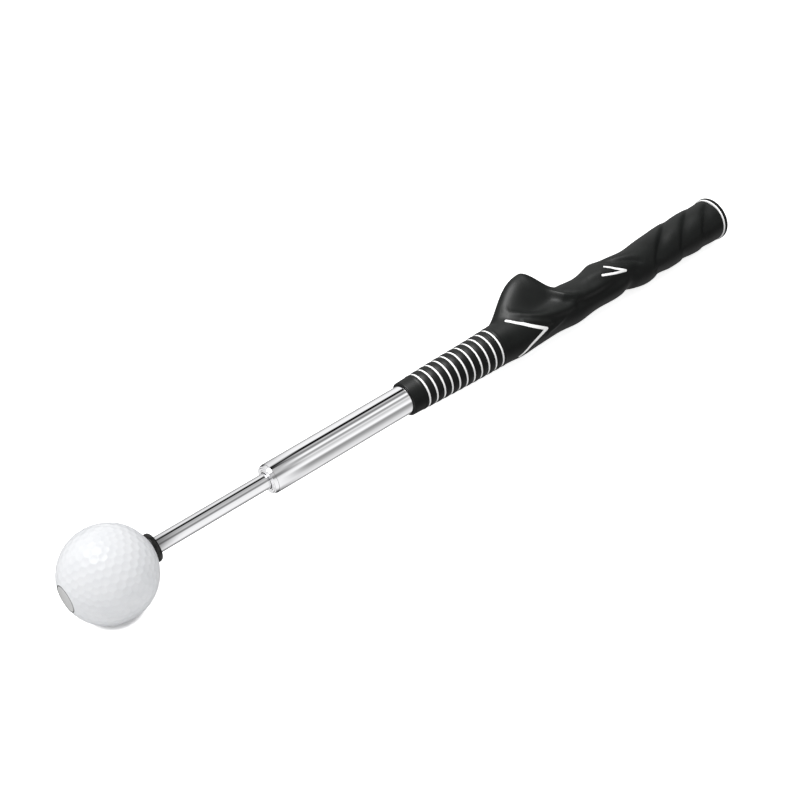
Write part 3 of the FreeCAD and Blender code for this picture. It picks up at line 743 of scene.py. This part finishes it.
# The marks' centre lines, from one arm's end over the tip to the other arm's end.
LARGE_V = ((146.7, 42.5), (144.3, 62.0), (141.2, 79.0), (137.5, 96.0), (130.2, 122.0),
           (133.7, 128.0), (141.8, 144.0), (147.6, 165.5))
LARGE_TIP = 4
SMALL_V = ((82.2, 54.5), (78.6, 75.0), (74.9, 89.0), (73.4, 94.5), (80.7, 85.0), (86.9, 74.0))
SMALL_TIP = 3
LARGE_V_WIDTH = 1.6
SMALL_V_WIDTH = 1.15
ARC_STEPS = 7
ARM_STEPS = 12
MARK_MESH = 0.35             # longer edges of a mark's mesh are halved, twice over
MARK_PROUD = 0.02
MARK_FLAT = 0.55             # the share of a mark's half width that is flat
MARK_EASE = 0.10             # how steeply the rest falls away
MARK_DEPTH = 0.7
MARK_EDGE = 50
BUTT_RING_WALL = 2.2


def flat_line(mark, tip):
    """A mark's centre line on the flattened surface, in millimetres, and the length of 1
    degree there."""
    degree = math.radians(1) * float(grip_radius(*mark[tip]))
    return [np.array((distance, angle * degree)) for distance, angle in mark], degree


def mark_distance(distance, angle, mark, tip):
    """How far points of the grip's surface are from the centre line of a mark."""
    line, degree = flat_line(mark, tip)
    spots = np.stack([distance, angle * degree], -1)
    nearest = np.full(distance.shape, np.inf)
    for start, end in zip(line, line[1:]):
        leg = end - start
        share = np.clip(((spots - start) @ leg) / (leg @ leg), 0, 1)
        gap = np.linalg.norm(spots - start - share[..., None] * leg, axis=-1)
        nearest = np.minimum(nearest, gap)
    return nearest


def soft_step(value):
    """Goes softly from 0 to 1 as a value does."""
    value = np.clip(value, 0, 1)
    return value * value * (3 - 2 * value)


def skin_rows():
    """The distances at which the skin has a row of points: closer at the edges of a groove."""
    rows = set(np.round(np.arange(SEAT + SKIN_END, GRIP_LENGTH - SKIN_END, SKIN_STEP), 3))
    for ring in ring_places():
        rows = {row for row in rows if abs(row - ring) > NEAR_GROOVE[-1]}
        for offset in NEAR_GROOVE:
            rows |= {round(ring + offset, 3), round(ring - offset, 3)}
    return np.array(sorted(rows))


def grooved_radius(distance, angle):
    """The radius of the moulded form, with its bands and the grooves for the white inlays."""
    radius = grip_radius(distance, angle)
    for ring in ring_places():
        off = np.abs(distance - ring)
        half = RING_PITCH / 2
        crown = np.clip(1 - ((off - half) / (half - RING_HALF)) ** 2, 0, 1)
        radius = radius + np.where(off < half, BAND_CROWN * crown, 0.0)
        radius = radius - GROOVE_DEPTH * soft_step((GROOVE_HALF - off) / GROOVE_SLOPE)
    for mark, tip, width in ((LARGE_V, LARGE_TIP, LARGE_V_WIDTH),
                             (SMALL_V, SMALL_TIP, SMALL_V_WIDTH)):
        gap = mark_distance(distance, angle, mark, tip)
        inside = width / 2 + MARK_GROOVE_PLAY - gap
        radius = radius - MARK_GROOVE_DEPTH * soft_step(inside / MARK_GROOVE_SLOPE)
    return radius


def make_grip_skin():
    """The grip's outside, its rolled mouth and its bore, as loops of points."""
    share = np.linspace(0, 360, SKIN_COLUMNS, endpoint=False)
    angles = share - CROWDING * np.sin(np.radians(share))
    rows = skin_rows()
    distance, angle = np.meshgrid(rows, angles, indexing="ij")
    radius = grooved_radius(distance, angle)
    butt = [grip_circle(SEAT, angles, radius[0] - 1.2),
            grip_circle(SEAT + 0.02, angles, radius[0] - 0.3)]
    skin = [grip_circle(row, angles, outside) for row, outside in zip(rows, radius)]
    mouth = [grip_circle(GRIP_LENGTH - back, angles, radius[-1] - inward)
             for back, inward in MOUTH_ROLL]
    mouth += [grip_circle(GRIP_LENGTH - back, angles, TUBE_RADIUS + play)
              for back, play in MOUTH_BORE]
    bore = [grip_circle(where, angles, TUBE_RADIUS + BORE_PLAY)
            for where in (150.0, 80.0, SEAT + 0.5)]
    bore.append(grip_circle(SEAT, angles, TUBE_RADIUS + 0.1))
    stack = butt + skin + mouth + bore
    faces = [face[::-1] for face in grid_faces(len(stack), SKIN_COLUMNS)]
    piece = new_object("grip_skin", np.concatenate(stack), faces)
    dress(piece, GRIP_RUBBER, "handle", "grip_rubber", "grip_body")


def make_grip_rings():
    """The white inlays, each a ring with a softly crowned section."""
    columns = 256
    angles = np.linspace(0, 360, columns, endpoint=False)
    side = ((RING_HALF, -0.9), (RING_HALF, -0.22), (0.44, -0.13), (0.25, -0.09))
    section = [(-across, height) for across, height in side] + [(0.0, -0.08)]
    section += side[::-1]
    points, faces = [], []
    for ring in ring_places():
        base = len(points) * columns
        for offset, height in section:
            where = np.full(columns, ring - offset)
            points.append(grip_points(where, angles, grip_radius(where, angles) + height))
        faces += [tuple(base + v for v in face) for face in grid_faces(len(section), columns)]
    piece = new_object("white_rings", np.concatenate(points), faces)
    mark_sharp(piece, RING_EDGE)
    dress(piece, INLAY_WHITE, "handle", "inlay_white", "grip_rings")


def smooth_arm(line):
    """A finer line through an arm's points, rounded at its bends."""
    fine = []
    for number in range(len(line) - 1):
        before = line[max(number - 1, 0)]
        start, end = line[number:number + 2]
        after = line[min(number + 2, len(line) - 1)]
        for step in range(ARM_STEPS):
            t = step / ARM_STEPS
            fine.append(0.5 * (2 * start + (end - before) * t
                               + (2 * before - 5 * start + 4 * end - after) * t**2
                               + (3 * start - before - 3 * end + after) * t**3))
    return fine + [line[-1]]


def mark_outline(mark, tip, width):
    """The closed outline of a V mark on the flattened surface: half circles at both ends, a
    round outer corner and a sharp inner corner at the tip."""
    line, degree = flat_line(mark, tip)
    arms = (smooth_arm(line[:tip + 1]), smooth_arm(line[tip:]))
    half = width / 2

    def offset(points, side):
        run = np.gradient(np.array(points), axis=0)
        run /= np.linalg.norm(run, axis=1)[:, None]
        return np.array(points) + side * half * np.stack([-run[:, 1], run[:, 0]], -1)

    def arc(centre, start, end):
        """Points of the shorter turn round a centre, between two offset points."""
        first = math.atan2(*(start - centre)[::-1])
        turn = (math.atan2(*(end - centre)[::-1]) - first + math.pi) % math.tau - math.pi
        return [centre + half * np.array((math.cos(first + turn * step / ARC_STEPS),
                                          math.sin(first + turn * step / ARC_STEPS)))
                for step in range(1, ARC_STEPS)]

    def cap(centre, start, outward):
        """Points of the half circle round an arm's end."""
        middle = centre + half * outward
        return arc(centre, start, middle) + [middle] + arc(centre, middle, 2 * centre - start)

    arriving, leaving = (np.array(arm) for arm in arms)
    legs = [arriving[-1] - arriving[-2], leaving[1] - leaving[0]]
    legs = [leg / np.linalg.norm(leg) for leg in legs]
    inner = 1.0 if legs[0][0] * legs[1][1] - legs[0][1] * legs[1][0] > 0 else -1.0
    opening = math.acos(np.clip(-legs[0] @ legs[1], -1, 1)) / 2
    bisector = legs[1] - legs[0]
    corner = line[tip] + bisector / np.linalg.norm(bisector) * half / math.sin(opening)
    reach = np.linalg.norm(corner - line[tip]) * math.cos(opening)
    keep_first = np.linalg.norm(arriving - line[tip], axis=1) > reach
    keep_second = np.linalg.norm(leaving - line[tip], axis=1) > reach
    outer_first, inner_first = offset(arriving, -inner), offset(arriving, inner)
    outer_second, inner_second = offset(leaving, -inner), offset(leaving, inner)
    outline = list(outer_first)
    outline += arc(line[tip], outer_first[-1], outer_second[0])
    outline += list(outer_second)
    end_run = leaving[-1] - leaving[-2]
    outline += cap(leaving[-1], outer_second[-1], end_run / np.linalg.norm(end_run))
    outline += list(inner_second[keep_second][::-1])
    outline.append(corner)
    outline += list(inner_first[keep_first][::-1])
    start_run = arriving[0] - arriving[1]
    outline += cap(arriving[0], inner_first[0], start_run / np.linalg.norm(start_run))
    return outline, degree


def make_mark(name, mark, tip, width, node):
    """A V mark as a filled inlay, level with the surface, with eased edges."""
    outline, degree = mark_outline(mark, tip, width)
    line, _ = flat_line(mark, tip)
    fine = np.array(smooth_arm(line[:tip + 1]) + smooth_arm(line[tip:])[1:])
    mesh = bmesh.new()
    rim = [mesh.verts.new((spot[0], spot[1], 0.0)) for spot in outline]
    mesh.faces.new(rim)
    bmesh.ops.triangulate(mesh, faces=mesh.faces[:])
    for _ in range(2):
        long_edges = [edge for edge in mesh.edges if edge.calc_length() > MARK_MESH]
        bmesh.ops.subdivide_edges(mesh, edges=long_edges, cuts=1)
        bmesh.ops.triangulate(mesh, faces=mesh.faces[:])
    border = [edge for edge in mesh.edges if edge.is_boundary]
    skirt = bmesh.ops.extrude_edge_only(mesh, edges=border)["geom"]
    skirt = {item for item in skirt if isinstance(item, bmesh.types.BMVert)}
    for vert in mesh.verts:
        spot = np.array(vert.co[:2])
        gap = float(np.min(np.linalg.norm(fine - spot, axis=1)))
        drop = MARK_EASE * max(0.0, gap / (width / 2) - MARK_FLAT)
        if vert in skirt:
            drop = MARK_DEPTH
        distance, angle = spot[0], spot[1] / degree
        radius = grip_radius(distance, angle) + MARK_PROUD - drop
        vert.co = grip_points(distance, angle, radius)
    bmesh.ops.recalc_face_normals(mesh, faces=mesh.faces[:])
    data = bpy.data.meshes.new(name)
    mesh.to_mesh(data)
    mesh.free()
    piece = bpy.data.objects.new(name, data)
    bpy.context.scene.collection.objects.link(piece)
    mark_sharp(piece, MARK_EDGE)
    dress(piece, INLAY_WHITE, "handle", "inlay_white", node)


def make_butt():
    """The white ring and the black cap that close the butt. The cap's face has a small
    vent hole in a shallow dish."""
    radius = half_width("butt_cap")
    low, high = place("butt_ring")
    ring = lathe("butt_white_ring", [
        (low - 0.02, radius - BUTT_RING_WALL, 0),
        (low - 0.02, radius - 0.30, 0.15),
        (high, radius - 0.20, 0.15),
        (high, radius - BUTT_RING_WALL, 0),
    ])
    dress(ring, INLAY_WHITE, "handle", "inlay_white", "butt_ring")
    start, end = place("butt_cap")
    dish, vent = end - 0.35, end - 3.0
    cap = lathe("butt_end_cap", [
        (start, 0, 0),
        (start, TUBE_RADIUS, 0.4),
        (low, TUBE_RADIUS, 0),
        (high, radius - 2.4, 0),
        (high + 0.02, radius, 0.2),
        (end, radius, 0.7),
        (end, 4.2, 0.15),
        (dish, 3.9, 0.15),
        (dish, 1.25, 0.2),
        (vent, 1.0, 0),
        (vent, 0, 0),
    ], steps=8)
    dress(cap, GRIP_RUBBER, "handle", "grip_rubber", "butt_cap")


make_grip_skin()
make_grip_rings()
make_mark("large_v_mark", LARGE_V, LARGE_TIP, LARGE_V_WIDTH, "large_v_inlay")
make_mark("small_v_mark", SMALL_V, SMALL_TIP, SMALL_V_WIDTH, "small_v_inlay")
make_butt()

# --- CAD nodes that stay as they are, with better finishes ---

KEPT = {
    BRASS: ("first_stage_fitting", "second_stage_fitting", "rod_fitting", "rod_nut"),
    NYLON: ("first_stage_sleeve", "second_stage_sleeve", "rod_sleeve", "stop_plug", "rear_plug"),
    SPRING_STEEL: ("first_stage_spring_ring", "second_stage_spring_ring", "rod_spring_ring"),
    STEEL: ("ball_insert", "ball_screw", "ball_washer"),
    CORE_RUBBER: ("ball_core",),
    TAPE: ("grip_tape",),
}
for finish, names in KEPT.items():
    for name in names:
        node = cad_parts[name]
        node.data.materials.clear()
        node.data.materials.append(finish)

# --- stage, light and camera ---

FLOOR_HALF = 4.0
FLOOR_RISE = 0.030           # the floor meets both the ball and the thinner grip
FLOOR_PLAY = 0.02            # between the ball and the floor
FLOOR_WHITE = 0.97
FLOOR_BOUNCE = 0.85          # how white the floor is for light that it scatters
FLOOR_PAINTED_GLOW = 0.75            # a glow on the floor that only the camera sees: painted light that washes out soft shadows
CONTACT_SHADOW_GLOW = 0.0           # the glow close under the ball: a painted contact shadow
CONTACT_SHADOW_REACH = (0.02412, 0.02554)      # metres from the ball's centre, over which the painted contact shadow gives way to the glow


def fade(tree, value, start, end, low=0.0, high=1.0):
    """Goes softly from low to high as a value goes from start to end."""
    part = add(tree, "ShaderNodeMapRange",
               {"From Min": start, "From Max": end, "To Min": low, "To Max": high},
               interpolation_type="SMOOTHSTEP")
    tree.links.new(value, part.inputs["Value"])
    return part.outputs["Result"]


def mixed(tree, factor, first, second):
    """A mix of two tones, where each is a grey value or a colour socket."""
    node = add(tree, "ShaderNodeMix", data_type="RGBA")
    tree.links.new(factor, node.inputs["Factor"])
    for socket, tone in (("A", first), ("B", second)):
        if isinstance(tone, float):
            node.inputs[socket].default_value = grey(tone)
        else:
            tree.links.new(tone, node.inputs[socket])
    return node.outputs["Result"]


def computed(tree, operation, first, second=None):
    """A sum on a socket, with a second socket or a number where the sum needs one."""
    node = add(tree, "ShaderNodeMath", operation=operation)
    tree.links.new(first, node.inputs[0])
    if isinstance(second, float):
        node.inputs[1].default_value = second
    elif second:
        tree.links.new(second, node.inputs[1])
    return node.outputs[0]


def make_floor():
    """A pale floor that touches the ball and the grip. The chrome doesn't see it."""
    centre = BALL_CENTRE * MM
    bottom = -(BALL_RADIUS + FLOOR_PLAY) * MM * math.sqrt(1 + FLOOR_RISE**2)
    corners = []
    for x, y in ((-1, -1), (1, -1), (1, 1), (-1, 1)):
        x, y = centre + x * FLOOR_HALF, y * FLOOR_HALF
        corners.append((x, y, bottom + FLOOR_RISE * (x - centre)))
    floor = new_object("studio_floor", corners, [(0, 1, 2, 3)], smooth=False)
    mat, tree, shader = material("studio_floor")
    shader.inputs["Roughness"].default_value = 0.9
    shader.inputs["Specular IOR Level"].default_value = 0.0
    coords = add(tree, "ShaderNodeTexCoord")
    coords.object = bpy.data.objects["dimpled_cover"]
    seen = add(tree, "ShaderNodeLightPath").outputs["Is Camera Ray"]
    tree.links.new(mixed(tree, seen, FLOOR_BOUNCE, FLOOR_WHITE), shader.inputs["Base Color"])
    away = add(tree, "ShaderNodeVectorMath", {1: (centre, 0.0, 0.0)}, operation="DISTANCE")
    tree.links.new(coords.outputs["Object"], away.inputs[0])
    # Painted light: the camera-only glow, fading into a painted contact shadow round the ball.
    painted_glow = fade(tree, away.outputs["Value"], *CONTACT_SHADOW_REACH, CONTACT_SHADOW_GLOW, FLOOR_PAINTED_GLOW)
    shader.inputs["Emission Color"].default_value = grey(1.0)
    tree.links.new(computed(tree, "MULTIPLY", seen, painted_glow), shader.inputs["Emission Strength"])
    floor.data.materials.append(mat)
    floor.visible_glossy = False


AMBIENT = 0.66               # the even light that matte surfaces get from the studio

# The studio round the shaft, as strips that run along it: from the far horizon (0 degrees)
# over the top (90) and the near horizon (180) to the floor below (270), with the brightness of
# each. The chrome shows them as its stripes. The strips toward the ball's end are broader.
GRIP_END_STRIPS = (
    (0, 0.80), (10, 0.95), (40, 1.0), (45, 0.50), (48, 0.0), (61, 0.0), (65, 0.2), (68, 0.55),
    (72, 0.66), (77, 0.28), (89, 0.26), (94, 0.80), (101, 1.08), (107, 1.0), (113, 0.40),
    (119, 0.32), (125, 0.60), (131, 0.86), (138, 0.62), (145, 0.72), (152, 0.9), (160, 1.05),
    (167, 1.02), (174, 0.52), (182, 0.29), (199, 0.43), (218, 0.69), (240, 0.84), (256, 0.86),
    (268, 0.30), (330, 0.18),
)
BALL_END_STRIPS = (
    (0, 0.50), (19, 0.74), (39, 0.88), (50, 0.86), (54, 0.30), (57, 0.01), (78, 0.01),
    (82, 0.42), (87, 0.47), (101, 0.49), (115, 0.60), (122, 0.50), (128, 0.26), (141, 0.24),
    (147, 0.60), (155, 0.88), (169, 0.92), (183, 0.96), (217, 0.97), (228, 0.88), (237, 0.62),
    (250, 0.34), (265, 0.18), (308, 0.14), (335, 0.20), (351, 0.34),
)
# A slant is how much of a ray runs along the shaft, towards the butt. Each pair is where one
# thing starts to give way to the next, and where it has done so.
STRIPS_MEET = (0.352, 0.386)     # the ball's end of the strips, then the grip's end
SHADE_SLANT = (0.27, 0.21)       # a dark gap across the strips
SHADE_DARK = 0.08
STRIPS_AGAIN = (0.11, 0.06)
DARK_SLANT = (0.70, 0.84)        # the dark end beyond the butt
DARK_END = 0.10
# The white screen beyond the ball, which the tubes' mouths face.
SCREEN_SLANT = (-0.20, -0.27)
SCREEN_TURN = 308 / 360          # its middle, as a share of a turn
SCREEN_REACH = (0.18, 0.14)      # how far round it reaches to both sides
SCREEN_WHITE = 0.84


def strip_tones(tree, share, stops):
    """A colour ramp round the shaft, from (degrees, tone) stops. It ends as it starts."""
    ring = stops + ((360, stops[0][1]),)
    node = add(tree, "ShaderNodeValToRGB")
    elements = node.color_ramp.elements
    while len(elements) < len(ring):
        elements.new(0.5)
    for element, (degrees, tone) in zip(elements, ring):
        element.position = degrees / 360
        element.color = grey(tone)
    tree.links.new(share, node.inputs["Fac"])
    return node.outputs["Color"]


def make_world():
    """The studio: strips for the chrome, even light for matte surfaces, white behind all."""
    world = bpy.data.worlds.new("studio_light")
    world.use_nodes = True
    tree = world.node_tree
    coords = add(tree, "ShaderNodeTexCoord")
    split = add(tree, "ShaderNodeSeparateXYZ")
    tree.links.new(coords.outputs["Generated"], split.inputs["Vector"])
    slant = split.outputs["X"]
    angle = computed(tree, "ARCTAN2", split.outputs["Z"], split.outputs["Y"])
    share = computed(tree, "FRACT", computed(tree, "DIVIDE", angle, math.tau))
    strips = mixed(tree, fade(tree, slant, *STRIPS_MEET),
                   strip_tones(tree, share, BALL_END_STRIPS),
                   strip_tones(tree, share, GRIP_END_STRIPS))
    apart = computed(tree, "ABSOLUTE", computed(tree, "SUBTRACT", share, SCREEN_TURN))
    screen = computed(tree, "MULTIPLY", fade(tree, slant, *SCREEN_SLANT),
                      fade(tree, apart, *SCREEN_REACH))
    studio = mixed(tree, fade(tree, slant, *SHADE_SLANT), strips, SHADE_DARK)
    studio = mixed(tree, fade(tree, slant, *STRIPS_AGAIN), studio, strips)
    studio = mixed(tree, screen, studio, SCREEN_WHITE)
    studio = mixed(tree, fade(tree, slant, *DARK_SLANT), studio, DARK_END)
    rays = add(tree, "ShaderNodeLightPath")
    light = mixed(tree, rays.outputs["Is Diffuse Ray"], studio, AMBIENT)
    shown = mixed(tree, rays.outputs["Is Camera Ray"], light, 1.0)
    tree.links.new(shown, tree.nodes["Background"].inputs["Color"])
    bpy.context.scene.world = world


def make_light(name, direction, distance, size, power, lit=()):
    """A round soft box, aimed at the middle of the shaft from a direction and a distance in
    metres. It lights only the pieces named, or everything when none is."""
    data = bpy.data.lights.new(name, "AREA")
    data.shape = "DISK"
    data.size = size
    data.energy = power
    lamp = bpy.data.objects.new(name, data)
    bpy.context.scene.collection.objects.link(lamp)
    toward = Vector(direction).normalized()
    lamp.location = Vector((BALL_CENTRE / 2 * MM, 0, 0)) + toward * distance
    lamp.rotation_euler = toward.to_track_quat("Z", "Y").to_euler()
    if lit:
        group = bpy.data.collections.new(f"{name}_lit")
        for piece in lit:
            group.objects.link(bpy.data.objects[piece])
        lamp.light_linking.receiver_collection = group


CAMERA_TURN = 40.157         # from +Y towards +X, degrees
CAMERA_DROP = 44.274         # looking down, degrees
CAMERA_PLACE = (-533.25, -377.77, 483.07)
CAMERA_LENS = 67.5           # for a film 36 mm wide


def make_camera():
    """Looks down on the shaft from the ball's end, so that the shaft runs up to the right."""
    data = bpy.data.cameras.new("camera")
    data.sensor_width = 36.0
    data.lens = CAMERA_LENS
    data.clip_end = 20.0         # beyond the floor's corners
    camera = bpy.data.objects.new("camera", data)
    bpy.context.scene.collection.objects.link(camera)
    turn, drop = math.radians(CAMERA_TURN), math.radians(CAMERA_DROP)
    back = Vector((-math.sin(turn) * math.cos(drop), -math.cos(turn) * math.cos(drop),
                   math.sin(drop)))
    camera.location = Vector(CAMERA_PLACE) * MM
    camera.rotation_euler = (-back).to_track_quat("-Z", "Y").to_euler()
    bpy.context.scene.camera = camera


OVERHEAD = (0.05, 0.34, 0.94)
RUBBER = ("grip_skin", "butt_end_cap")
WHITE_MARKS = ("white_rings", "large_v_mark", "small_v_mark", "butt_white_ring")
make_light("key", (-0.28, 0.26, 0.92), 1.3, 0.90, 8.0)
make_light("grip_light", OVERHEAD, 1.0, 0.45, 24.0, RUBBER)
make_light("mark_light", OVERHEAD, 1.0, 0.45, 6.0, WHITE_MARKS)
make_floor()
make_world()
make_camera()
bpy.context.scene.view_settings.view_transform = "Standard"
